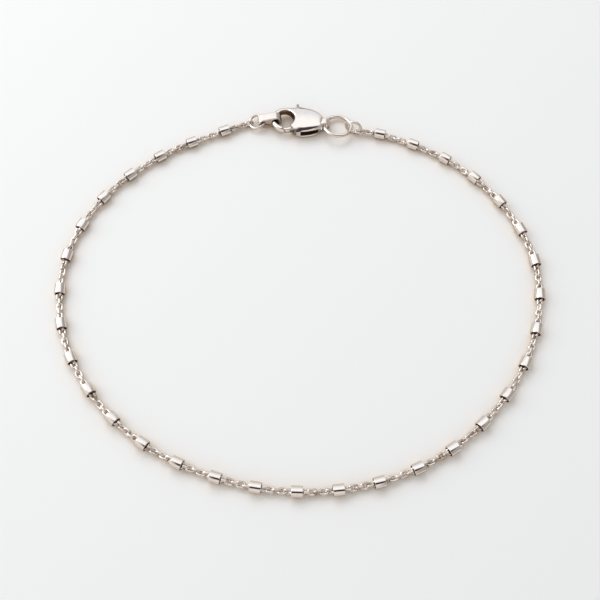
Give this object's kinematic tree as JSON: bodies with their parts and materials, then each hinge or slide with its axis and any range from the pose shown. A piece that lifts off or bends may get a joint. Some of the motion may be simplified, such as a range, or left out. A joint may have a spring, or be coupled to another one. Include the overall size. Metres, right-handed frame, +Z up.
{
  "type": "chain anklet",
  "caption": "Fine cable chain threaded through short tube beads, a closed loop for the ankle fastened by a lobster clasp with a flat link and jump rings.",
  "frame": {"origin": "middle of the underside, on the surface that the anklet lies on", "axes": "+X from the flat link toward the big jump ring, along the loop's longest way across; +Y toward the clasp; +Z up from the surface"},
  "size_m": [0.0848, 0.0742, 0.0033],
  "materials": {
    "clasp_silver": "polished",
    "ring_silver": "polished",
    "chain_silver": "polished",
    "bead_silver": "polished"
  },
  "bodies": {
    "anklet": {"clasp_body": "clasp_silver", "flat_link": "clasp_silver", "left_jump_ring": "ring_silver", "big_jump_ring": "ring_silver", "right_jump_ring": "ring_silver", "chain": "chain_silver", "bead_01": "bead_silver", "bead_02": "bead_silver", "bead_03": "bead_silver", "bead_04": "bead_silver", "bead_05": "bead_silver", "bead_06": "bead_silver", "bead_07": "bead_silver", "bead_08": "bead_silver", "bead_09": "bead_silver", "bead_10": "bead_silver", "bead_11": "bead_silver", "bead_12": "bead_silver", "bead_13": "bead_silver", "bead_14": "bead_silver", "bead_15": "bead_silver", "bead_16": "bead_silver", "bead_17": "bead_silver", "bead_18": "bead_silver", "bead_19": "bead_silver", "bead_20": "bead_silver", "bead_21": "bead_silver", "bead_22": "bead_silver", "bead_23": "bead_silver", "bead_24": "bead_silver", "bead_25": "bead_silver", "bead_26": "bead_silver", "bead_27": "bead_silver", "bead_28": "bead_silver", "bead_29": "bead_silver", "bead_30": "bead_silver", "bead_31": "bead_silver", "bead_32": "bead_silver", "bead_33": "bead_silver"},
    "lever": {"clasp_lever": "clasp_silver"}
  },
  "joints": [
    {"name": "lever_pivot", "type": "hinge", "parent": "anklet", "child": "lever", "pos_m": [0.00034, 0.03263, 0.00125], "axis": [0, 0, -1], "range_deg": [0, 13], "stiffness_Nm_per_rad": 0.002}
  ]
}
